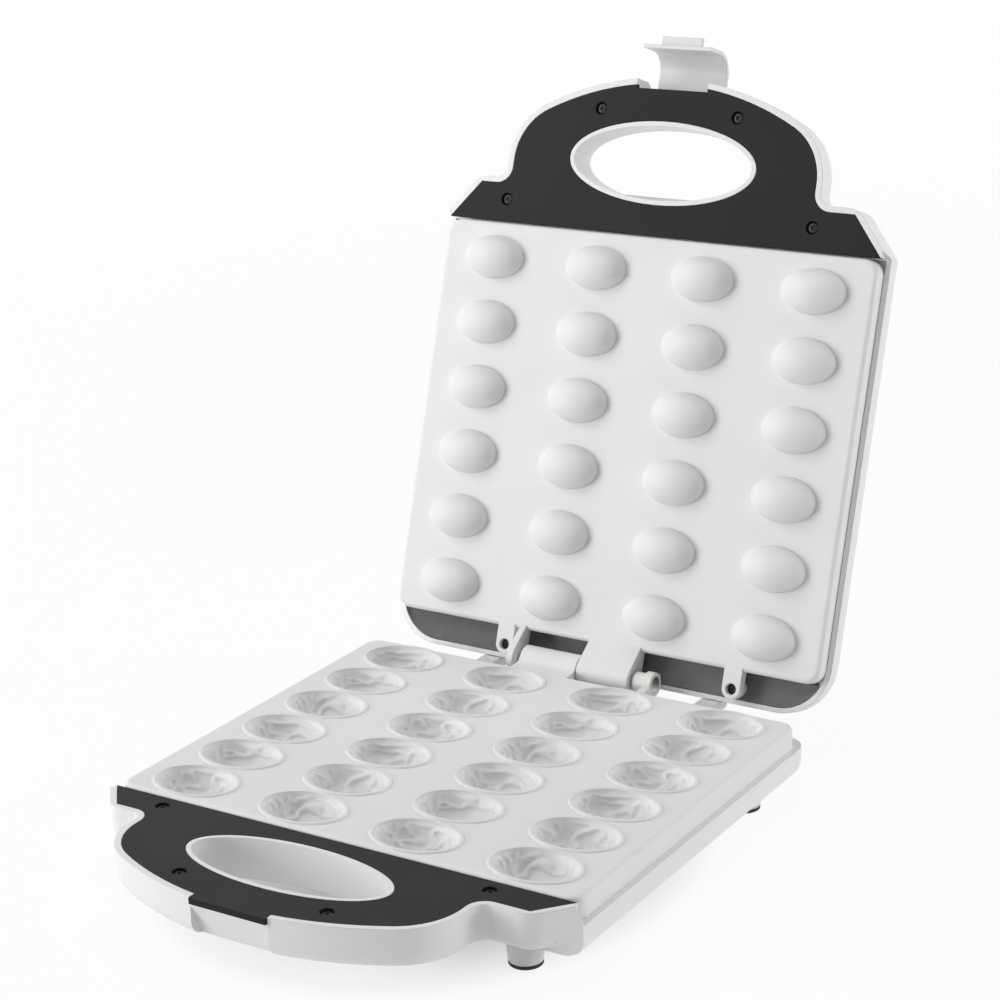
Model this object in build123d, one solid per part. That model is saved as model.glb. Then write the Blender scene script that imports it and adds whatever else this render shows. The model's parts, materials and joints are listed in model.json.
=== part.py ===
from build123d import *
import math
import os

os.makedirs("parts", exist_ok=True)

# An electric nut cookie maker, shown open: two cast baking plates, a base on four feet,
# a lid on a cast hinge, and a latch at the front of the lid.
# The origin while drawing is the middle of the lower plate's top face: X right, Y back, Z up.
# Base and lid parts are both drawn face up. The lid's parts are then turned over on to the base
# and swung open about the hinge.

# Grid of nut halves
columns = 4
rows = 6
column_pitch = 62.0
row_pitch = 34.75
nut_length = 42.0
nut_width = 30.0
nut_lip = 2.0
nut_lip_height = 0.75
nut_lip_draft = 30.0
cup_wall = 3.0
cup_foot_length = 28.0
cup_foot_width = 18.0
cup_root = 0.5
dome_length = 35.0
dome_width = 23.0
dome_height = 10.0
dome_wall = 3.5
dome_core_share = 0.7

# Cast plates
plate_margin_x = 32.25
plate_margin_y = 18.65
plate_corner = 8.0
plate_edge = 2.5
lower_slab = 7.0
upper_slab = 4.5
plate_skirt = 11.0
plate_wall = 4.0
plate_gap = 1.6

# Hinge
hinge_reach = 14.5
hinge_drop = 1.5
barrel_radius = 7.5
ear_radius = 6.2
boss_radius = 5.0
base_knuckle = (-38.0, -4.5)
lid_knuckle = (-4.0, 26.0)
lid_ear = (-46.0, -42.5)
base_boss = (27.5, 34.0)
base_ear = (34.0, 38.5)
web_height = 9.0
web_fillet = 4.0
lid_web_height = 5.0
web_overlap = 2.5
pin_radius = 2.0
pin_fit = 0.05
pin_head_radius = 4.0
pin_head_length = 1.5
clip_radius = 3.6
clip_length = 0.9
clip_gap = 0.4
opening_angle = 108.5

# Housings
wall = 2.5
rim = 3.0
plate_clearance = 0.25
base_depth = 27.5
base_edge = 10.0
base_handle_depth = 21.0
base_handle_edge = 8.0
base_front_run = 12.0
base_rear_gap = 6.5
base_rear_corner = 11.5
base_wall_drop = 11.0
base_reach = 73.0
base_shoulder = 17.0
lid_depth = 22.5
lid_edge = 9.0
lid_handle_depth = 18.0
lid_handle_edge = 7.0
lid_rear_gap = 17.5
lid_rear_corner = 27.0
lid_wall_drop = 7.5
lid_reach = 79.0
lid_shoulder = 21.0
shoulder_slope = 0.8
cross_wall = 3.0
grip_overlap = 20.0
ledge = 2.0
chamber_inset = 8.0
wing_corner = 12.0
wing_share = 0.325
throat_share = 0.45
core_edge_share = 0.8

# Handles and their trims
handle_x = -2.5
handle_half = 88.0
handle_round = 45.0
handle_corner = 31.0
handle_throat = 9.0
trim_gap = 0.8
trim_drop = 1.0
trim_thickness = 3.0
trim_clearance = 0.15
trim_tongue = 11.0
oval_setback = 41.0
oval_half_length = 51.5
oval_half_width = 19.0
sleeve_wall = 2.5
sleeve_clearance = 0.25
front_screw_x = 39.5
front_screw_setback = 15.0
wing_screw_x = 89.0
wing_screw_setback = 8.5

# Latch
latch_half = 19.5
latch_side_gap = 1.0
latch_pocket_wall = 2.5
latch_face_proud = 2.9
latch_face_gap = 0.8
latch_thickness = 2.0
latch_arm = 12.6
latch_pivot_depth = 9.6
latch_barrel = 4.0
latch_floor_gap = 0.4
latch_bend = 10.2
latch_hook_gap = 0.4
latch_hook_length = 11.0
latch_web = 3.0
latch_tab_half = 11.5
latch_tab_length = 5.0
latch_tab_offset = 5.0
latch_pin_radius = 1.5
channel_slope = 7.5
channel_start = 0.5

# Feet and rear stops
floor_depth = 38.5
foot_top_radius = 9.5
foot_foot_radius = 7.8
front_foot_x = 96.0
front_foot_inset = 3.5
rear_foot_x = 108.0
rear_foot_inset = 23.5
foot_root = 1.5
pad_thickness = 2.0
pad_stem_radius = 3.0
pad_stem_length = 4.0
stop_inner_x = 60.0
stop_width = 10.0
stop_gap = 0.3
stop_length = 9.0

# Screws
post_radius = 4.5
post_foot_radius = 6.5
boss_depth = 12.0
upper_boss_depth = 9.0
plate_screw_x = 62.0
plate_screw_radius = 2.0
plate_screw_head = 3.6
plate_screw_head_height = 2.0
plate_screw_bite = 4.0
counterbore_radius = 4.0
trim_screw_radius = 1.5
trim_screw_head = 3.0
trim_screw_head_height = 1.2
trim_screw_length = 9.0
trim_bore_radius = 3.4
trim_bore_depth = 2.0
trim_boss_radius = 4.0
screw_clearance = 0.1
lug_x = (-54.5, 79.0)
lug_reach = 9.5
lug_radius = 5.0
lug_thickness = 5.0
lug_bore_radius = 2.9
lug_bore_depth = 3.2
lug_screw_recess = 2.0
lug_screw_head = 2.7
lug_screw_radius = 1.5
lug_screw_length = 9.0
lug_boss_radius = 4.5

# Heaters and what holds them
heater_radius = 3.25
heater_fit = 0.1
heater_x = 62.0
heater_back = 60.0
heater_bend = 14.0
heater_bed_width = 10.0
lower_heater_depth = 13.5
upper_heater_depth = 9.2
heater_pin_radius = 1.6
heater_pin_length = 6.0
clamp_length = 26.0
clamp_width = 9.0
clamp_thickness = 1.2
clamp_screw_x = 9.0
clamp_screw_radius = 1.4
clamp_screw_head = 2.6
clamp_screw_head_height = 1.5
clamp_screw_bite = 4.0
clamp_boss_radius = 3.2
reflector_gap = 0.4
reflector_thickness = 0.6
reflector_inset = 9.0
reflector_notch = 40.0

# Controls and wiring
thermostat_radius = 8.0
thermostat_height = 8.0
thermostat_tab = 2.5
thermostat_tab_thickness = 0.8
limiter_radius = 6.0
limiter_height = 5.0
fuse_radius = 2.0
fuse_length = 14.0
fuse_clip = 6.0
terminal_width = 26.0
terminal_length = 14.0
terminal_height = 9.0
lead_radius = 1.0
lead_drop = 1.4
lead_bend = 3.0
lead_start = 4.5
lead_inset = 8.0
lead_landing = 14.0
bushing_x = -80.0
bushing_radius = 4.5
bushing_flange = 6.5
bushing_flange_thickness = 2.0
bushing_bore = 3.1
bushing_depth = 17.0
bushing_boss = 7.5
lamp_x = 18.0
lens_radius = 3.6
lens_flange = 4.6
lens_proud = 1.0
lens_inside = 1.0
neon_radius = 2.6
neon_length = 3.0
lamp_bar_width = 8.0
lamp_bar_thickness = 3.0

# Places worked out from the sizes above
half_x = (columns - 1) / 2 * column_pitch + plate_margin_x
half_y = (rows - 1) / 2 * row_pitch + plate_margin_y
grid = [
    ((column - (columns - 1) / 2) * column_pitch, (row - (rows - 1) / 2) * row_pitch)
    for column in range(columns)
    for row in range(rows)
]
hinge_y = half_y + hinge_reach
nut_depth = nut_width / 2 - nut_lip_height
trim_floor = trim_drop + trim_thickness
trim_back = -half_y - trim_gap
heater_front = -2 * row_pitch
plate_screw_y = (rows - 1) / 2 * row_pitch
lower_clamp_depth = lower_heater_depth + heater_radius + heater_fit
upper_clamp_depth = upper_heater_depth + heater_radius + heater_fit
clamp_stack = clamp_thickness + clamp_screw_head_height + reflector_gap
lower_reflector_depth = lower_clamp_depth + clamp_stack
upper_reflector_depth = upper_clamp_depth + clamp_stack
step_y = -half_y - plate_clearance - trim_gap
latch_face = -half_y - base_reach - latch_face_proud
latch_pivot = latch_face - latch_face_gap + latch_arm
pocket_half = latch_half + latch_side_gap
closed_hinge_z = -hinge_drop
lid_hinge_height = plate_gap + hinge_drop


def column_of(radius, x, y, low, high):
    return extrude(Pos(x, y, low) * Circle(radius), amount=high - low)


def row_of(radius, x0, x1, y, z):
    return extrude(Plane.YZ.offset(x0) * Pos(y, z) * Circle(radius), amount=x1 - x0)


def block(x0, x1, y0, y1, z0, z1):
    return Pos((x0 + x1) / 2, (y0 + y1) / 2, (z0 + z1) / 2) * Box(x1 - x0, y1 - y0, z1 - z0)


def oval_of(extra, low, high, y):
    face = Pos(handle_x, y, low) * Ellipse(oval_half_length + extra, oval_half_width + extra)
    return extrude(face, amount=high - low)


def side_profile(points, x0, x1):
    return extrude(Plane.YZ.offset(x0) * make_face(Polyline(*points, close=True)), amount=x1 - x0)


def half_ball(length, width, height, side):
    ball = Sphere(1) & Pos(0, 0, side / 2) * Box(2, 2, 1)
    return scale(ball, (length / 2, width / 2, height))


def oval_frustum(low, low_half, high, high_half):
    return loft([Pos(0, 0, low) * Ellipse(*low_half), Pos(0, 0, high) * Ellipse(*high_half)], ruled=True)


def tub(face, top, depth, radius):
    body = extrude(Pos(0, 0, -depth) * face, amount=depth - top)
    return fillet(body.edges().group_by(Axis.Z)[0], radius)


# Cast plates

def plate_blank(slab):
    outline = RectangleRounded(2 * half_x, 2 * half_y, plate_corner)
    body = extrude(Pos(0, 0, -plate_skirt) * outline, amount=plate_skirt)
    body = fillet(body.edges().group_by(Axis.Z)[-1], plate_edge)
    inner = RectangleRounded(
        2 * (half_x - plate_wall),
        2 * (half_y - plate_wall),
        max(plate_corner - plate_wall, 0.5),
    )
    return body - extrude(Pos(0, 0, -plate_skirt) * inner, amount=plate_skirt - slab)


def heater_path(depth):
    corners = [
        (-heater_x, heater_back, -depth),
        (-heater_x, heater_front, -depth),
        (heater_x, heater_front, -depth),
        (heater_x, heater_back, -depth),
    ]
    return FilletPolyline(*corners, radius=heater_bend)


def heater_tube(depth, radius):
    path = heater_path(depth)
    return sweep(Plane(path @ 0, z_dir=path % 0) * Circle(radius), path)


def heater_bed(depth, slab):
    outer = 2 * heater_x + heater_bed_width
    inner = 2 * heater_x - heater_bed_width
    length = 2 * (heater_back - heater_front)
    bed = RectangleRounded(outer, length + heater_bed_width, heater_bend + heater_bed_width / 2)
    bed -= RectangleRounded(inner, length - heater_bed_width, heater_bend - heater_bed_width / 2)
    bed = Pos(0, heater_back) * bed
    bed &= Pos(0, heater_back - length / 2) * Rectangle(2 * outer, length)
    return extrude(Pos(0, 0, -depth) * bed, amount=depth - slab)


def clamp_screw_places():
    return [(side * heater_x + offset, 0) for side in (-1, 1) for offset in (-clamp_screw_x, clamp_screw_x)]


def plate_with_heater(body, slab, depth, clamp_depth, boss_low, screw_rows):
    clamps = clamp_screw_places()
    screws = [(side * plate_screw_x, y) for side in (-1, 1) for y in screw_rows]
    body += [heater_bed(depth, slab)]
    body += [column_of(clamp_boss_radius, x, y, -clamp_depth, -slab) for x, y in clamps]
    body += [column_of(post_radius, x, y, -boss_low, -slab) for x, y in screws]
    bores = [
        column_of(
            clamp_screw_radius + screw_clearance,
            x,
            y,
            -clamp_depth,
            -clamp_depth + clamp_screw_bite + screw_clearance,
        )
        for x, y in clamps
    ]
    bores += [
        column_of(
            plate_screw_radius + screw_clearance,
            x,
            y,
            -boss_low,
            -boss_low + plate_screw_bite + screw_clearance,
        )
        for x, y in screws
    ]
    return body - ([heater_tube(depth, heater_radius + heater_fit)] + bores)


def knuckle(x_range, height, top, fillet_radius, radius):
    face = Pos(hinge_y, height) * Circle(radius)
    middle = (half_y - web_overlap + hinge_y) / 2
    face += Pos(middle, top - web_height / 2) * Rectangle(hinge_y - half_y + web_overlap, web_height)
    crook = [v for v in face.vertices() if v.X > half_y and abs(v.Y - top) < 0.01]
    if fillet_radius > 0:
        face = fillet(crook, fillet_radius)
    return extrude(Plane.YZ.offset(x_range[0]) * face, amount=x_range[1] - x_range[0])


def lid_barrel(x_range):
    centre = Vector(hinge_y, lid_hinge_height)
    parts = Pos(centre.X, centre.Y) * Circle(barrel_radius)
    root = half_y - web_overlap
    for edge_y, side in ((0, 1), (-lid_web_height, -1)):
        gap = Vector(root, edge_y) - centre
        turn = math.acos(barrel_radius / gap.length)
        angle = math.atan2(gap.Y, gap.X) - side * turn
        touch = centre + Vector(math.cos(angle), math.sin(angle)) * barrel_radius
        middle = (root, -lid_web_height / 2)
        parts += make_face(Polyline((root, edge_y), touch, centre, middle, close=True))
    return extrude(Plane.YZ.offset(x_range[0]) * parts, amount=x_range[1] - x_range[0])


def lower_plate():
    cup = oval_frustum(
        -lower_slab + cup_root,
        (nut_length / 2 + cup_wall, nut_width / 2 + cup_wall),
        -nut_depth - cup_wall,
        (cup_foot_length / 2, cup_foot_width / 2),
    )
    lip_run = nut_lip_height * math.tan(math.radians(nut_lip_draft))
    lip = oval_frustum(
        -cup_root,
        (nut_length / 2 + nut_lip, nut_width / 2 + nut_lip),
        nut_lip_height,
        (nut_length / 2 + nut_lip - lip_run, nut_width / 2 + nut_lip - lip_run),
    )
    hollow = Pos(0, 0, nut_lip_height) * half_ball(nut_length, nut_width, nut_width / 2, -1)
    body = plate_blank(lower_slab)
    body += [Pos(x, y, 0) * cup for x, y in grid] + [Pos(x, y, 0) * lip for x, y in grid]
    rows_of_screws = (-plate_screw_y, plate_screw_y)
    body = plate_with_heater(
        body, lower_slab, lower_heater_depth, lower_clamp_depth, boss_depth, rows_of_screws
    )
    body += [
        knuckle(base_knuckle, closed_hinge_z, 0, web_fillet, barrel_radius),
        knuckle(base_ear, closed_hinge_z, -hinge_drop, 0, ear_radius),
        row_of(boss_radius, base_boss[0], base_boss[1], hinge_y, closed_hinge_z),
    ]
    pin_hole = row_of(pin_radius + pin_fit, base_knuckle[0] - 1, base_ear[1] + 1, hinge_y, closed_hinge_z)
    head_room = row_of(
        pin_head_radius + screw_clearance,
        base_ear[1] - pin_head_length,
        base_ear[1] + 1,
        hinge_y,
        closed_hinge_z,
    )
    return body - ([Pos(x, y, 0) * hollow for x, y in grid] + [pin_hole, head_room])


def upper_plate():
    dome = half_ball(dome_length, dome_width, dome_height, 1)
    core_half = (dome_length / 2 - dome_wall, dome_width / 2 - dome_wall)
    core_tip = (core_half[0] * dome_core_share, core_half[1] * dome_core_share)
    core = oval_frustum(-upper_slab - 1, core_half, dome_height - dome_wall, core_tip)
    body = plate_blank(upper_slab)
    body += [Pos(x, y, 0) * dome for x, y in grid]
    body -= [Pos(x, y, 0) * core for x, y in grid]
    body = plate_with_heater(
        body, upper_slab, upper_heater_depth, upper_clamp_depth, upper_boss_depth, (-plate_screw_y,)
    )
    lug_y = half_y + lug_reach
    lugs = [column_of(lug_radius, x, lug_y, -lug_thickness, 0) for x in lug_x]
    lugs += [
        block(x - lug_radius, x + lug_radius, half_y - web_overlap, lug_y, -lug_thickness, 0) for x in lug_x
    ]
    body += [lid_barrel(lid_knuckle), lid_barrel(lid_ear)] + lugs
    holes = [column_of(lug_bore_radius, x, lug_y, -lug_bore_depth, 1) for x in lug_x]
    holes += [
        column_of(lug_screw_radius + screw_clearance, x, lug_y, -lug_thickness - 1, 1) for x in lug_x
    ]
    pin_hole = row_of(pin_radius + pin_fit, lid_ear[0] - 1, lid_knuckle[1] + 1, hinge_y, lid_hinge_height)
    return body - (holes + [pin_hole])


# Handle outline, shared by housings and trims

def ahead_of(y):
    return Pos(0, y - half_y) * Rectangle(3 * half_x, 2 * half_y)


def handle_face(reach, shoulder):
    back = -half_y + grip_overlap
    tip = -half_y - reach
    round_y = tip + handle_round
    shoulder_y = -half_y - shoulder
    left = handle_x - handle_half
    right = handle_x + handle_half
    wing = half_x - shoulder * shoulder_slope
    span = handle_half - handle_corner
    swell = handle_round - handle_corner
    front_radius = (span ** 2 + handle_round ** 2 - handle_corner ** 2) / (2 * swell)
    rise = front_radius - handle_round
    lean = math.degrees(math.atan2(span, rise))
    turn = 90 - lean
    curves = [
        CenterArc((left + handle_corner, round_y), handle_corner, start_angle=180, arc_size=turn),
        CenterArc((handle_x, round_y + rise), front_radius, start_angle=270 - lean, arc_size=2 * lean),
        CenterArc((right - handle_corner, round_y), handle_corner, start_angle=270 + lean, arc_size=turn),
    ]
    rest = Polyline(
        (right, round_y),
        (right, shoulder_y),
        (wing, shoulder_y),
        (half_x, trim_back),
        (half_x, back),
        (-half_x, back),
        (-half_x, trim_back),
        (-wing, shoulder_y),
        (left, shoulder_y),
        (left, round_y),
    )
    face = make_face(curves + [rest])
    inner = (handle_half + wing) / 2
    throats = [v for v in face.vertices() if abs(v.Y - shoulder_y) < 0.01 and abs(v.X) < inner]
    radius = min(handle_throat, 0.95 * (shoulder_y - round_y), rim + throat_share * wing_room(shoulder))
    return fillet(throats, radius)


def wing_room(shoulder):
    return half_x - shoulder * shoulder_slope - handle_half - abs(handle_x)


def wing_radius(shoulder):
    half_turn = math.atan(1 / shoulder_slope) / 2
    return min(wing_corner, wing_share * wing_room(shoulder) / math.tan(half_turn))


def round_wings(face, shoulder):
    face = offset(face, rim, kind=Kind.INTERSECTION)
    front = -half_y - shoulder - rim
    inner = half_x - shoulder * shoulder_slope
    wings = [v for v in face.vertices() if abs(v.Y - front) < 0.01 and abs(v.X) > inner]
    return fillet(wings, wing_radius(shoulder))


def body_face(shoulder, rear_gap, rear_corner):
    wing = half_x - shoulder * shoulder_slope
    rear = half_y + rear_gap - rim
    inner = make_face(
        Polyline(
            (wing, -half_y - shoulder),
            (half_x, trim_back),
            (half_x, rear),
            (-half_x, rear),
            (-half_x, trim_back),
            (-wing, -half_y - shoulder),
            close=True,
        )
    )
    face = round_wings(inner, shoulder)
    return fillet([v for v in face.vertices() if v.Y > 0], rear_corner)


def trim_screw_places(reach, shoulder):
    front_y = -half_y - reach + front_screw_setback
    wing_y = -half_y - shoulder + wing_screw_setback
    places = [(handle_x + side * wing_screw_x, wing_y) for side in (-1, 1)]
    return places + [(handle_x + side * front_screw_x, front_y) for side in (-1, 1)]


def trim(reach, shoulder):
    face = offset(handle_face(reach, shoulder), -trim_clearance, kind=Kind.INTERSECTION)
    face &= ahead_of(trim_back)
    body = extrude(Pos(0, 0, -trim_floor) * face, amount=trim_thickness)
    tip = -half_y - reach
    x0 = handle_x - pocket_half + trim_clearance
    x1 = handle_x + pocket_half - trim_clearance
    if latch_face < tip:
        body += block(x0, x1, latch_face, tip + trim_tongue, -trim_floor, -trim_drop)
    else:
        body -= block(handle_x - pocket_half, handle_x + pocket_half, tip - 1, latch_face, -trim_floor, 0)
    body -= oval_of(sleeve_wall + sleeve_clearance, -trim_floor, 0, tip + oval_setback)
    for x, y in trim_screw_places(reach, shoulder):
        body -= column_of(trim_bore_radius, x, y, -trim_drop - trim_bore_depth, 0)
        body -= column_of(trim_screw_radius + screw_clearance, x, y, -trim_floor, 0)
    return body


def trim_screw(x, y):
    seat = -trim_drop - trim_bore_depth
    head = column_of(trim_screw_head, x, y, seat, seat + trim_screw_head_height)
    return head + column_of(trim_screw_radius, x, y, seat - trim_screw_length, seat)


# Housings

def front_rise(depth, top, run):
    front = step_y - run
    points = [
        (step_y, -depth),
        (front, top),
        (front, 0),
        (-3 * half_y, 0),
        (-3 * half_y, -2 * depth),
        (step_y, -2 * depth),
    ]
    return side_profile(points, -2 * half_x, 2 * half_x)


def housing(
    reach, shoulder, depth, edge, handle_depth, handle_edge, front_run, rear_gap, rear_corner, wall_drop
):
    tip = -half_y - reach
    rear = half_y + rear_gap
    edge = min(edge, wing_radius(shoulder) - 0.5)
    handle_edge = min(handle_edge, wing_radius(shoulder) - 0.5)
    grip = round_wings(handle_face(reach, shoulder), shoulder)
    body = tub(grip, trim_drop, handle_depth, handle_edge)
    main = tub(body_face(shoulder, rear_gap, rear_corner), trim_drop, depth, edge)
    hollows = [
        front_core(reach, shoulder, grip, handle_depth, handle_edge),
        plate_core(depth, edge, rear, rear_corner, rear_gap),
        oval_of(0, -handle_depth - 1, 0, tip + oval_setback),
    ]
    if front_run > 0:
        main -= front_rise(depth, handle_edge - handle_depth, front_run)
    else:
        hollows.append(front_chamber(reach, shoulder, depth, handle_edge - handle_depth))
    body += main
    body -= block(-2 * half_x, 2 * half_x, step_y, 2 * rear, -wall_drop, 0)
    ramp = [(step_y, -wall_drop), (step_y, 0), (step_y - cross_wall, 0), (step_y - cross_wall, -trim_drop)]
    for x0, x1 in ((-2 * half_x, -half_x - plate_clearance), (half_x + plate_clearance, 2 * half_x)):
        body -= side_profile(ramp, x0, x1)
    return body - hollows


def front_core(reach, shoulder, grip, handle_depth, handle_edge):
    tip = -half_y - reach
    hollow = offset(grip, -wall, kind=Kind.INTERSECTION) & ahead_of(step_y - cross_wall)
    core = tub(hollow, trim_floor + ledge, handle_depth - wall, handle_edge - wall)
    face = handle_face(reach, shoulder)
    lip = offset(face, -ledge, kind=Kind.INTERSECTION) & ahead_of(step_y - cross_wall)
    core += extrude(Pos(0, 0, -trim_floor - ledge) * lip, amount=ledge)
    x0 = handle_x - pocket_half - latch_pocket_wall
    x1 = handle_x + pocket_half + latch_pocket_wall
    core -= block(x0, x1, 2 * tip, latch_back(), -handle_depth, 0)
    for x, y in trim_screw_places(reach, shoulder):
        core -= column_of(trim_boss_radius, x, y, -handle_depth, 0)
    core += extrude(Pos(0, 0, -trim_floor) * (face & ahead_of(step_y)), amount=trim_floor)
    core -= oval_of(sleeve_wall, -handle_depth, 0, tip + oval_setback)
    for x, y in trim_screw_places(reach, shoulder):
        core += column_of(
            trim_screw_radius + screw_clearance,
            x,
            y,
            -trim_drop - trim_bore_depth - trim_screw_length - screw_clearance,
            -trim_floor,
        )
    return core


def front_chamber(reach, shoulder, depth, top):
    wide = half_x - shoulder * shoulder_slope - chamber_inset
    front = -half_y - shoulder - rim + chamber_inset
    chamber = block(-wide, wide, front, step_y - cross_wall, -depth + wall, top)
    return chamber - [
        column_of(trim_boss_radius, x, y, -depth, 0) for x, y in trim_screw_places(reach, shoulder)
    ]


def plate_core(depth, edge, rear, rear_corner, rear_gap):
    wide = half_x + rim - wall
    front = step_y + cross_wall / 2
    hollow = Pos(0, (rear - wall + front) / 2) * Rectangle(2 * wide, rear - wall - front)
    hollow = fillet([v for v in hollow.vertices() if v.Y > 0], rear_corner - wall)
    room = depth - plate_skirt - 2 * wall
    core = tub(hollow, plate_skirt + wall, depth - wall, min(edge - wall, core_edge_share * room))
    open_x = half_x - plate_wall
    open_rear = half_y - plate_wall
    if rear_gap > hinge_reach:
        open_rear = rear - wall - rear_corner / 2
    core += block(-open_x, open_x, -half_y + plate_wall, open_rear, -plate_skirt - 2 * wall, 0)
    pocket_x = half_x + plate_clearance
    pocket_rear = max(rear - wall, half_y + plate_clearance)
    pocket = Pos(0, (pocket_rear - half_y - plate_clearance) / 2)
    pocket *= Rectangle(2 * pocket_x, pocket_rear + half_y + plate_clearance)
    pocket = fillet([v for v in pocket.vertices() if v.Y > 0], max(rear_corner - wall, 0.5))
    return core + extrude(Pos(0, 0, -plate_skirt) * pocket, amount=plate_skirt)


def latch_back():
    return latch_pivot + latch_barrel + latch_side_gap + latch_pocket_wall


def foot_places():
    return {
        "front_left": (-front_foot_x, -half_y + front_foot_inset),
        "front_right": (front_foot_x, -half_y + front_foot_inset),
        "rear_left": (-rear_foot_x, half_y - rear_foot_inset),
        "rear_right": (rear_foot_x, half_y - rear_foot_inset),
    }


def foot_post(x, y):
    depth = base_depth if y > 0 else base_handle_depth
    top = Pos(x, y, -depth + foot_root) * Circle(foot_top_radius)
    low = Pos(x, y, -floor_depth + pad_thickness) * Circle(foot_foot_radius)
    return loft([top, low], ruled=True)


def foot_pad(x, y):
    low = -floor_depth
    pad = column_of(foot_foot_radius, x, y, low, low + pad_thickness)
    stem_top = low + pad_thickness + pad_stem_length
    return pad + column_of(pad_stem_radius, x, y, low + pad_thickness, stem_top)


def turned(y, z):
    angle = math.radians(opening_angle)
    dy = y - hinge_y
    dz = z - closed_hinge_z
    return (
        hinge_y + dy * math.cos(angle) + dz * math.sin(angle),
        closed_hinge_z - dy * math.sin(angle) + dz * math.cos(angle),
    )


def rear_stop(x0, x1):
    face_y = half_y + lid_rear_gap + stop_gap
    near = turned(face_y, plate_gap + lid_wall_drop + stop_gap)
    far = turned(face_y, plate_gap + lid_wall_drop + stop_gap + stop_length)
    rear = half_y + base_rear_gap - wall / 2
    points = [
        (rear, near[1] - stop_gap),
        near,
        far,
        (far[0], far[1] - wall),
        (rear, -base_depth + base_edge),
    ]
    return side_profile(points, x0, x1)


def plate_post(x, y, depth, reflector_depth, top):
    post = column_of(post_radius, x, y, -depth + wall / 2, -top)
    low = reflector_depth + reflector_thickness
    return post + column_of(post_foot_radius, x, y, -depth + wall / 2, -low)


def plate_screw_seat(depth):
    return -depth + wall + plate_screw_head_height


def plate_screw(x, y, depth, top):
    seat = plate_screw_seat(depth)
    head = column_of(plate_screw_head, x, y, seat - plate_screw_head_height, seat)
    return head + column_of(plate_screw_radius, x, y, seat, -top + plate_screw_bite)


def plate_screw_bores(x, y, depth, top):
    seat = plate_screw_seat(depth)
    wide = column_of(counterbore_radius, x, y, -depth - 1, seat)
    return wide + column_of(plate_screw_radius + screw_clearance, x, y, seat - 1, -top + 1)


def base_housing():
    body = housing(
        base_reach,
        base_shoulder,
        base_depth,
        base_edge,
        base_handle_depth,
        base_handle_edge,
        base_front_run,
        base_rear_gap,
        base_rear_corner,
        base_wall_drop,
    )
    tip = -half_y - base_reach
    corners = [(side * plate_screw_x, y) for side in (-1, 1) for y in (-plate_screw_y, plate_screw_y)]
    body += [foot_post(x, y) for x, y in foot_places().values()]
    body += [plate_post(x, y, base_depth, lower_reflector_depth, boss_depth) for x, y in corners]
    body += [
        rear_stop(stop_inner_x, stop_inner_x + stop_width),
        rear_stop(-stop_inner_x - stop_width, -stop_inner_x),
    ]
    channel = [
        (latch_face + channel_start, -trim_floor),
        (tip - base_reach, -trim_floor),
        (tip - base_reach, -base_handle_depth),
        (latch_face + channel_start + channel_slope, -base_handle_depth),
    ]
    x0 = handle_x - pocket_half
    x1 = handle_x + pocket_half
    cuts = [side_profile(channel, x0, x1), block(x0, x1, 2 * tip, tip + wall, -trim_floor, 0)]
    cuts += [
        column_of(
            pad_stem_radius + screw_clearance,
            x,
            y,
            -floor_depth,
            -floor_depth + pad_thickness + pad_stem_length + screw_clearance,
        )
        for x, y in foot_places().values()
    ]
    cuts += [plate_screw_bores(x, y, base_depth, boss_depth) for x, y in corners]
    bushing_face = Plane.XZ.offset(-half_y - base_rear_gap) * Pos(bushing_x, -bushing_depth)
    body += extrude(bushing_face * Circle(bushing_boss), amount=wall + 1)
    cuts += [extrude(bushing_face * Circle(bushing_radius + screw_clearance), amount=2 * wall)]
    return body - cuts


def lid_housing():
    body = housing(
        lid_reach,
        lid_shoulder,
        lid_depth,
        lid_edge,
        lid_handle_depth,
        lid_handle_edge,
        0,
        lid_rear_gap,
        lid_rear_corner,
        lid_wall_drop,
    )
    corners = [(side * plate_screw_x, -plate_screw_y) for side in (-1, 1)]
    lug_y = half_y + lug_reach
    body += [plate_post(x, y, lid_depth, upper_reflector_depth, upper_boss_depth) for x, y in corners]
    body += [column_of(lug_boss_radius, x, lug_y, -lid_depth + wall / 2, -lug_thickness) for x in lug_x]
    x0 = handle_x - pocket_half
    x1 = handle_x + pocket_half
    pocket_floor = latch_pivot_depth - latch_barrel - latch_floor_gap
    pocket_back = latch_back() - latch_pocket_wall
    cuts = [
        block(x0, x1, 3 * latch_face, pocket_back, -lid_handle_depth - 1, -pocket_floor),
        block(x0, x1, 3 * latch_face, latch_face, -lid_handle_depth - 1, 0),
        row_of(
            latch_pin_radius + screw_clearance,
            x0 - latch_pocket_wall - 1,
            x1 + latch_pocket_wall + 1,
            latch_pivot,
            -latch_pivot_depth,
        ),
    ]
    cuts += [plate_screw_bores(x, y, lid_depth, upper_boss_depth) for x, y in corners]
    cuts += [
        column_of(
            lug_screw_radius + screw_clearance,
            x,
            lug_y,
            -lug_bore_depth - lug_screw_length - screw_clearance,
            0,
        )
        for x in lug_x
    ]
    lens_top = -lid_depth + wall + 1
    cuts += [
        column_of(lens_radius + screw_clearance, x, lamp_y(), -lid_depth - 1, lens_top) for x in lamp_places()
    ]
    return body - cuts


def lamp_y():
    return step_y - cross_wall - lens_radius - 1


def lamp_places():
    return (handle_x - lamp_x, handle_x + lamp_x)


def lamp_lens(x):
    lens = column_of(lens_flange, x, lamp_y(), -lid_depth - lens_proud, -lid_depth)
    lens = fillet(lens.edges().group_by(Axis.Z)[0], 0.8 * lens_proud)
    return lens + column_of(lens_radius, x, lamp_y(), -lid_depth, -lid_depth + wall + lens_inside)


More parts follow.
